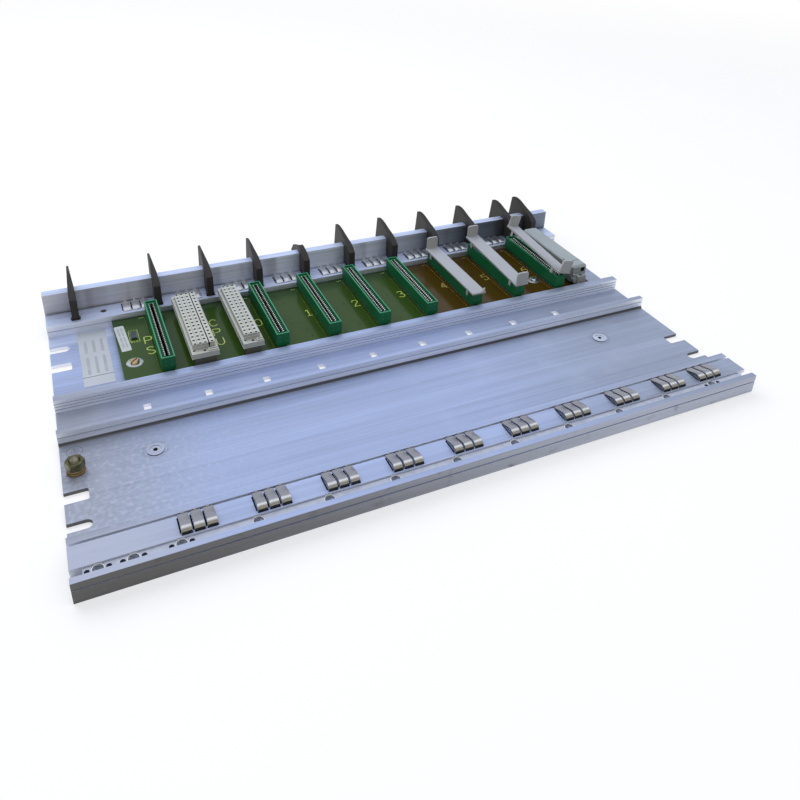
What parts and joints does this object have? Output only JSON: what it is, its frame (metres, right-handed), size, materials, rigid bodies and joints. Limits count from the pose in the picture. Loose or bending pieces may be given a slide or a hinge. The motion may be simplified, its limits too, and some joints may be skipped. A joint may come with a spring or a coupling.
{
  "type": "subrack card cage",
  "caption": "Flat aluminium subrack with a bus board, slot connectors, guide fins, contact springs, a clamp bar and slotted ends for rack screws.",
  "frame": {"origin": "centre of the flat mounting face under the profile, midway between its ends and between its front and rear edges", "axes": "+X along the rack from the supply end to the interface end, +Y from the clamp bar to the guide fins, +Z out of the mounting face towards the modules"},
  "size_m": [0.4826, 0.3127, 0.0452],
  "materials": {
    "profile": "drawn aluminium, natural, lightly scuffed",
    "bar": "zinc plated steel",
    "insulator": "dark insulating sheet",
    "green_board": "green solder resist",
    "brown_board": "brown solder resist",
    "screws": "yellow passivated steel",
    "nameplate": "bare plate",
    "sticker": "bare paper label",
    "green_connector": "moulded green plastic",
    "grey_socket": "moulded light grey plastic",
    "cap": "moulded grey plastic",
    "cover": "moulded off-white plastic",
    "fin": "dull dark steel",
    "spring": "bright spring steel",
    "stud": "plated steel thread",
    "washer": "plated steel",
    "nut": "yellow plated hexagon nut"
  },
  "bodies": {
    "root": {"mounting_profile": "profile", "clamp_bar": "bar", "board_insulator": "insulator", "backplane_board": "green_board", "extension_board": "brown_board", "board_screws": "screws", "nameplate": "nameplate", "board_sticker": "sticker", "supply_connector": "green_connector", "wide_socket": "grey_socket", "narrow_socket": "grey_socket", "interface_connector": "green_connector", "interface_cap": "cap", "earth_stud": "stud", "earth_washer": "washer", "earth_spring_washer": "washer", "earth_nut": "nut", "deck_discs": "profile", "slot_connector_0": "green_connector", "slot_connector_1": "green_connector", "slot_connector_2": "green_connector", "slot_connector_3": "green_connector", "slot_connector_4": "green_connector", "slot_connector_5": "green_connector", "slot_connector_6": "green_connector", "dust_cover_4": "cover", "dust_cover_5": "cover", "dust_cover_6": "cover", "guide_fin_0": "fin", "guide_fin_1": "fin", "guide_fin_2": "fin", "guide_fin_3": "fin", "guide_fin_4": "fin", "guide_fin_5": "fin", "guide_fin_6": "fin", "guide_fin_7": "fin", "guide_fin_8": "fin", "guide_fin_9": "fin", "guide_fin_10": "fin", "lower_spring_0": "spring", "upper_spring_0": "spring", "lower_spring_1": "spring", "upper_spring_1": "spring", "lower_spring_2": "spring", "upper_spring_2": "spring", "lower_spring_3": "spring", "upper_spring_3": "spring", "lower_spring_4": "spring", "upper_spring_4": "spring", "lower_spring_5": "spring", "upper_spring_5": "spring", "lower_spring_6": "spring", "upper_spring_6": "spring", "lower_spring_7": "spring", "upper_spring_7": "spring", "lower_spring_8": "spring", "upper_spring_8": "spring", "lower_spring_9": "spring", "upper_spring_9": "spring"}
  },
  "joints": []
}
